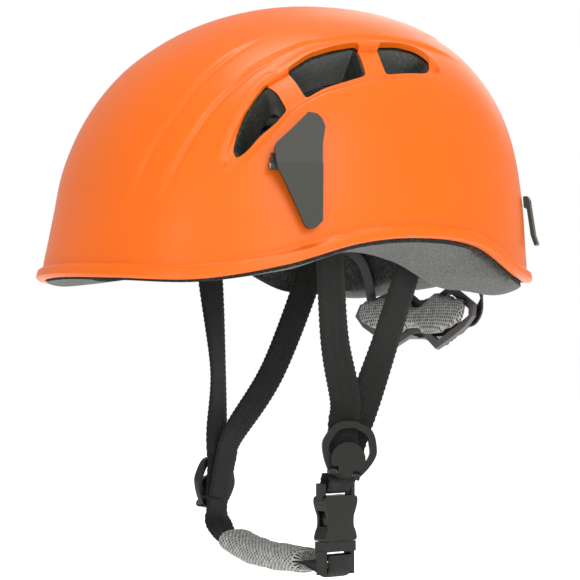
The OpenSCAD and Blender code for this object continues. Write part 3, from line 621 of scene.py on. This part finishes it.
CS = [dr(0, -4.6, -3.8), dr(0, -11.4, -4.4), [-58.2, -10.8, -139], [-52, -10.5, -145], [-42, -10.1, -149], [-21, -10.4, -152.6], [0, -11, -153.6], [24, -10.6, -153.2], [42, -9.4, -153],
      bkp(0, -29.4, -7.2), bkp(0, -31.4, -2.6), bkp(0, -31.4, 0.8), bkp(0, -29, 3), bkp(0, -25.4, 3.1), bkp(0, -21, 2.9)]
nDRW = [-c for c in DRW]; nBKW = [-c for c in BKW]
CSW = [nDRW, nDRW, [-0.1, -1, 0], [0, -1, 0], [0, -1, 0], [0, -1, 0], [0, -1, 0], [0, -1, 0], [0.1, -1, 0]] + [nBKW] * 6

for name, node, P, W in (("front_webbing_left", "front_strap_left", FSL, FSLW), ("rear_webbing_left", "rear_strap_left", RSL, RSLW),
                         ("front_webbing_right", "front_strap_right", FSR, FSRW), ("rear_webbing_right", "rear_strap_right", RSR, RSRW),
                         ("lower_webbing_left", "lower_strap_left", LSL, LSLW)):
    o = strip(name, P, W)
    dress(o, M["web"]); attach(o, "helmet"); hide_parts(node)

chin = strip("chin_webbing", CS, CSW)
dress(chin, M["web"]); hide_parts("chin_strap")
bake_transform(chin)

NC = [0, 86.5, -24.0]
c14, s14 = math.cos(math.radians(14)), math.sin(math.radians(14))
def cpt(u, v, w): return [u, NC[1] + v * s14 + w * c14, NC[2] + v * c14 - w * s14]
HB = [[68.9, -50, 32], [73.2, -30, 29], [74, -10, 26], [74, 10, 23], [72.4, 38, 20], [65.8, 60, 18], [59.6, 74.5, 15], [56, 81.8, 8.6], [54.6, 85.2, 0], [55.2, 87.6, -8], [56, 89.2, -14.5]]
UP = [0, 0, 1]; HE = [-0.8, 0.6, 0]; HM = [-0.55, 0.4, 0.7]
HBW = [UP, UP, UP, UP, UP, UP, [-0.2, 0.1, 1], HM, HE, HE, HM, UP, UP, UP, UP]
for side, v in (("left", -7.3), ("right", 7.3)):
    P = HB + [cpt(53, v * 0.1, 0.8), cpt(42, v * 0.4, 3.2), cpt(34, v * 0.8, 5.2), cpt(26.4, v, 6)]
    W = HBW
    if side == "right":
        P = [[-a, b, c] for a, b, c in P]; W = [[-a, b, c] for a, b, c in W]
    o = strip("headband_arm_" + side, P, W, 5.6, 1.6, 1.2, 0, 3, 6, 0.75)
    dress(o, M["black"]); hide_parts("headband_" + side)
    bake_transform(o)
    HI = [[36, 97.8, 22], [36, 97.4, 13], [34.4, 94.4, 4], [31.4, 91.6, -3.4]]
    HIW = [[1, -0.3, 0.1], [1, -0.3, 0.2], [1, -0.1, 0.4], [1, 0, 0.45]]
    P, W = HI, HIW
    if side == "right":
        P = [[-a, b, c] for a, b, c in P]; W = [[-a, b, c] for a, b, c in W]
    o = strip("nape_hanger_" + side, P, W, 5.0, 1.8, 1.0, 0, 3, 6, 0.75)
    dress(o, M["nape"]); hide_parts("hanger_" + side)
    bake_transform(o)

# ------------------------------------------------------------------ pads
def inflate(o, voxel=0.0045, pressure=4.0, frames=20, cap=0.003, sub=1):
    """remesh, blow up a little with cloth, hold back points that move too far"""
    m = o.modifiers.new("r", "REMESH"); m.mode = "VOXEL"; m.voxel_size = voxel
    apply_all(o)
    base = np.array([v.co for v in o.data.vertices])
    c = o.modifiers.new("Cloth", "CLOTH")
    st = c.settings
    st.quality = 4; st.mass = 0.15
    st.use_pressure = True; st.uniform_pressure_force = pressure
    st.tension_stiffness = 12; st.compression_stiffness = 12; st.shear_stiffness = 6; st.bending_stiffness = 0.4
    st.effector_weights.gravity = 0
    c.point_cache.frame_start = 1; c.point_cache.frame_end = frames
    sc = bpy.context.scene
    for f in range(1, frames + 1):
        sc.frame_set(f)
    dg = bpy.context.evaluated_depsgraph_get()
    ev = o.evaluated_get(dg)
    new = np.array([v.co for v in ev.data.vertices])
    o.modifiers.clear()
    sc.frame_set(1)
    if new.shape == base.shape and np.isfinite(new).all():
        d = new - base; L = np.linalg.norm(d, axis=1, keepdims=True)
        d *= np.minimum(1, cap / np.maximum(L, 1e-9))
        o.data.vertices.foreach_set("co", (base + d).ravel().astype(np.float32))
        o.data.update()
    s = o.modifiers.new("s", "CORRECTIVE_SMOOTH"); s.iterations = 2; s.use_only_smooth = True
    s = o.modifiers.new("sub", "SUBSURF"); s.levels = sub; s.render_levels = sub
    apply_all(o)
    o.data.shade_smooth()
    return o

def set_pad_uv(o, fn):
    co = np.empty(len(o.data.vertices) * 3, np.float32); o.data.vertices.foreach_get("co", co); co = co.reshape(-1, 3) * 1000
    uv = fn(co)
    a = o.data.attributes.new("pad_uv", "FLOAT_VECTOR", "POINT")
    a.data.foreach_set("vector", np.concatenate([uv, np.zeros((len(uv), 1))], 1).astype(np.float32).ravel())

# chin pad: a flattened sleeve over the strap
CP = [[-42, -10, -146.6], [-21, -10.4, -151], [0, -11, -152.6], [24, -10.6, -152.4], [40.5, -9.8, -152.2]]
def build_chin_pad():
    C = catmull(CP, 12)
    T = np.gradient(C, axis=0); T /= np.linalg.norm(T, axis=1, keepdims=True)
    Y = np.array([0, 1.0, 0]); rows = []
    n = len(C)
    for i, (c, t) in enumerate(zip(C, T)):
        up = np.cross(t, Y)
        if up[2] < 0: up = -up
        k = min(i, n - 1 - i)
        e = min(1.0, 0.66 + 0.34 * math.sqrt(k / 4.0)) if k < 4 else 1.0
        wob = 1 + 0.05 * math.sin(i * 0.9) + 0.04 * math.sin(i * 0.43 + 1)
        ring = []
        for a in np.linspace(0, 2 * math.pi, 36, endpoint=False):
            ca, sa = math.cos(a), math.sin(a)
            y = 10.8 * math.copysign(abs(ca) ** 0.7, ca) * (0.92 + 0.08 * e); z = 6.6 * math.copysign(abs(sa) ** 0.85, sa) * e * wob
            # stitched seam along the lower front edge
            seam = 0.9 * math.exp(-((a - 5.15) / 0.12) ** 2)
            ring.append(c + Y * y * (1 - seam * 0.02) + up * (z + seam))
        rows.append(ring)
    G = np.array(rows); nr, nc = G.shape[:2]
    F = grid_faces(nr, nc, True) + [tuple(range(nc))[::-1], tuple(nc * (nr - 1) + i for i in range(nc))]
    o = make_mesh("chin_cushion", G.reshape(-1, 3), F); fix_normals(o)
    inflate(o, 0.0022, 3.0, 14, 0.0012)
    def uv(co):
        a = np.arctan2(-(co[:, 2] + 152.5), -(co[:, 1] + 10.4))
        return np.stack([a * 8.6, co[:, 0]], 1)
    set_pad_uv(o, uv)
    dress(o, M["mesh"]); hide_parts("chin_pad")
    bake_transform(o)
    return o
build_chin_pad()

def build_nape_pad():
    PADL = [(0, 7), (6, 7.6), (12, 12.6), (18, 14), (36, 11.4), (52, 8), (54.4, 0), (50, -6), (34, -10.6), (17, -13), (11, -11.6), (6, -8.6), (0, -8.4)]
    out = np.array(PADL + [(-u, v) for u, v in PADL[-2:0:-1]], float) * [0.985, 0.95]
    ring = catmull(out, 5, True)
    bm = bmesh.new()
    vs = [bm.verts.new((u, v, 0)) for u, v in ring]
    f = bm.faces.new(vs)
    bmesh.ops.triangulate(bm, faces=[f])
    r = bmesh.ops.extrude_face_region(bm, geom=bm.faces[:])
    for v in r["geom"]:
        if isinstance(v, bmesh.types.BMVert): v.co.z = -4.0
    bmesh.ops.recalc_face_normals(bm, faces=bm.faces)
    me = bpy.data.meshes.new("nape_cushion"); 
    for v in bm.verts: v.co *= 0.001
    bm.to_mesh(me); bm.free()
    o = bpy.data.objects.new("nape_cushion", me); COL.objects.link(o)
    inflate(o, 0.0026, 3.0, 14, 0.0012)
    co = np.empty(len(o.data.vertices) * 3, np.float32); o.data.vertices.foreach_get("co", co); co = co.reshape(-1, 3) * 1000
    u, v, w = co[:, 0].copy(), co[:, 1].copy(), co[:, 2].copy()
    # crown the inner face, bend round the head and lean with the cradle
    w2 = w - 1.3 - u * u / 600.0
    P = np.stack([-u, NC[1] + v * s14 + w2 * c14, NC[2] + v * c14 - w2 * s14], 1)
    o.data.vertices.foreach_set("co", (P / 1000).ravel().astype(np.float32)); o.data.update()
    a = o.data.attributes.new("pad_uv", "FLOAT_VECTOR", "POINT")
    a.data.foreach_set("vector", np.stack([u, v + w * 0.8, 0 * u], 1).astype(np.float32).ravel())
    fix_normals(o); o.data.shade_smooth()
    dress(o, M["mesh"]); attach(o, "nape_cradle"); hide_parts("nape_pad")
    return o
build_nape_pad()

def slab_pad(name, node, t0, t1, z0, z1, d0, d1, mirror=False):
    """crowned pad on the foam's inner face"""
    nt, nz = 26, 10
    G = []
    for d, sgn in ((d0, -1), (d1, 1)):
        for j in range(nz + 1):
            for i in range(nt + 1):
                a, b = i / nt, j / nz
                e = (1 - (2 * a - 1) ** 8) * (1 - (2 * b - 1) ** 6)
                r = 0.94
                aa = 0.5 + (a - 0.5) * r; bb = 0.5 + (b - 0.5) * (r - 0.04 * (2 * a - 1) ** 4)
                dd = (d0 + d1) / 2 + sgn * (d1 - d0) / 2 * (0.30 + 0.62 * e)
                G.append(S(t0 + (t1 - t0) * aa, z0 + (z1 - z0) * bb, dd if d == d1 else (d0 + 0.5)))
    G = np.array(G); w = nt + 1; m = w * (nz + 1)
    F = []
    for j in range(nz):
        for i in range(nt):
            a = j * w + i
            F += [(a, a + 1, a + 1 + w, a + w), (m + a, m + a + w, m + a + 1 + w, m + a + 1)]
    for i in range(nt):
        F += [(i + 1, i, m + i, m + i + 1), (nz * w + i, nz * w + i + 1, m + nz * w + i + 1, m + nz * w + i)]
    for j in range(nz):
        a = j * w; b = a + nt
        F += [(a, a + w, m + a + w, m + a), (b + w, b, m + b, m + b + w)]
    if mirror: G[:, 0] *= -1
    o = make_mesh(name, G, F); fix_normals(o)
    s = o.modifiers.new("s", "SUBSURF"); s.levels = 1; s.render_levels = 1
    apply_all(o); o.data.shade_smooth()
    def uv(co):
        t = np.degrees(np.arctan2(np.abs(co[:, 0]), -co[:, 1]))
        return np.stack([np.radians(t) * 85, co[:, 2]], 1)
    set_pad_uv(o, uv)
    dress(o, M["mesh_dark"]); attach(o, "helmet"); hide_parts(node)
    return o
slab_pad("brow_cushion", "brow_pad", -42, 42, 5, 32, 24.4, 30.4)
slab_pad("side_cushion_left", "side_pad_left", 58, 118, 50, 84, 24.4, 30.4)
slab_pad("side_cushion_right", "side_pad_right", 58, 118, 50, 84, 24.4, 30.4, True)

def crown_cushion():
    nt, nr = 60, 12; zc = 96.5
    rows = []
    prof = [(24.9, 0.02), (24.7, 0.3), (24.7, 0.65), (24.7, 1.0), (26.6, 1.06), (28.8, 1.03)]
    T = np.arange(nt) * 360 / nt
    for d, k in prof:                                  # outer face from near the apex down and under the edge
        z = H - d - (H - d - zc) * min(k, 1.0) ** 2 + (0 if k <= 1 else -(k - 1) * 18)
        rows.append(S(T, np.full(nt, z), d))
    for k in np.linspace(1.0, 0.02, nr):
        d = 30.2 - 0.3 * k
        z = H - d - (H - d - zc) * k ** 2
        rows.append(S(T, np.full(nt, z), d))
    G = np.array(rows); n = len(rows)
    V = np.vstack([G.reshape(-1, 3), [[0, YS, H - 24.9], [0, YS, H - 30.2]]])
    F = grid_faces(n, nt, True) + [((i + 1) % nt, i, n * nt) for i in range(nt)] + [((n - 1) * nt + i, (n - 1) * nt + (i + 1) % nt, n * nt + 1) for i in range(nt)]
    o = make_mesh("crown_cushion", V, F); fix_normals(o)
    s = o.modifiers.new("s", "SUBSURF"); s.levels = 1; s.render_levels = 1
    apply_all(o); o.data.shade_smooth()
    set_pad_uv(o, lambda co: co[:, :2])
    dress(o, M["mesh_dark"]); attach(o, "helmet"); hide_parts("crown_pad")
crown_cushion()

# ------------------------------------------------------------------ carried-over hard parts
def carry(names, m, bevel=0.4, seg=3, ang=32):
    for n in names:
        o = NODES[n]
        for sl in o.material_slots: sl.material = m
        if not o.material_slots: o.data.materials.append(m)
        if bevel:
            b = o.modifiers.new("bevel", "BEVEL"); b.width = bevel * MM; b.segments = seg; b.limit_method = "ANGLE"; b.angle_limit = math.radians(ang)
            b.use_clamp_overlap = True; b.harden_normals = False
            w = o.modifiers.new("wn", "WEIGHTED_NORMAL"); w.keep_sharp = True
carry([n for n in NODES if "clip_base" in n or "clip_lever" in n or n.startswith("rear_clip")], M["clip"], 0.7)
carry([n for n in NODES if n.startswith("divider_left") or n.startswith("divider_right")], M["buckle"], 0.8)
carry([n for n in NODES if "flap" in n], M["buckle"], 0.6)
carry(["buckle_socket", "buckle_plug"], M["buckle"], 0.6)
carry(["buckle_prong_front", "buckle_prong_rear"], M["buckle"], 0.4)
carry(["nape_frame"], M["nape"], 0.5)
carry(["dial_housing", "dial_knob", "strap_anchors", "headband_studs"], M["black"], 0.5)
carry(["dial_pinion", "rack_left", "rack_right"], M["nape"], 0.0)
carry([n for n in NODES if "_pin_" in n], M["steel"], 0.2)

# ------------------------------------------------------------------ floor, light, camera
def plane(name, size, z):
    me = bpy.data.meshes.new(name)
    me.from_pydata([(-size, -size, z), (size, -size, z), (size, size, z), (-size, size, z)], [], [(0, 1, 2, 3)])
    o = bpy.data.objects.new(name, me); COL.objects.link(o)
    return o
floor = plane("floor", 12, -0.1970)
fm = mat("floor_white", (0.93, 0.93, 0.93), 0.9, 0.05)
bsdf(fm).inputs["Emission Color"].default_value = (1, 1, 1, 1); bsdf(fm).inputs["Emission Strength"].default_value = 0.42
floor.data.materials.append(fm)

sc = bpy.context.scene
w = bpy.data.worlds.new("studio"); sc.world = w; w.use_nodes = True
bg = w.node_tree.nodes["Background"]; bg.inputs[0].default_value = (1, 1, 1, 1)
lp = w.node_tree.nodes.new("ShaderNodeLightPath"); mr = w.node_tree.nodes.new("ShaderNodeMapRange")
mr.inputs["To Min"].default_value = 0.62; mr.inputs["To Max"].default_value = 1.0
w.node_tree.links.new(lp.outputs["Is Camera Ray"], mr.inputs["Value"]); w.node_tree.links.new(mr.outputs["Result"], bg.inputs[1])
sc.view_settings.view_transform = "Standard"
sc.view_settings.look = "None"

def area(name, loc, target, size, power, color=(1, 1, 1)):
    L = bpy.data.lights.new(name, "AREA"); L.shape = "RECTANGLE"; L.size, L.size_y = size; L.energy = power; L.color = color
    o = bpy.data.objects.new(name, L); COL.objects.link(o)
    o.location = loc
    o.rotation_euler = (Vector(target) - Vector(loc)).to_track_quat("-Z", "Y").to_euler()
    return o
area("key", (1.5, -0.1, 0.8), (0, 0, 0.03), (0.8, 0.8), 11)
area("top", (0.3, 0.0, 1.7), (0, 0, 0.05), (0.8, 0.8), 15)
area("strip", (0.9, -1.5, 0.25), (0, 0, 0), (0.3, 1.2), 4)
area("back", (-0.9, 1.2, 0.9), (0, 0, 0.05), (1.0, 1.0), 5)

cam = bpy.data.cameras.new("camera"); co = bpy.data.objects.new("camera", cam); COL.objects.link(co)
az, el, D = math.radians(60), math.radians(-1), 1.3
tgt = Vector((0, 0, -0.008))
d = Vector((math.sin(az) * math.cos(el), -math.cos(az) * math.cos(el), math.sin(el)))
co.location = tgt + d * D
co.rotation_euler = (-d).to_track_quat("-Z", "Y").to_euler()
cam.sensor_width = 36; cam.lens = 1.843 * 1300 / 580 * 36
cam.shift_x = 0.0052; cam.shift_y = -0.0052
cam.clip_start = 0.01; cam.clip_end = 50
sc.camera = co
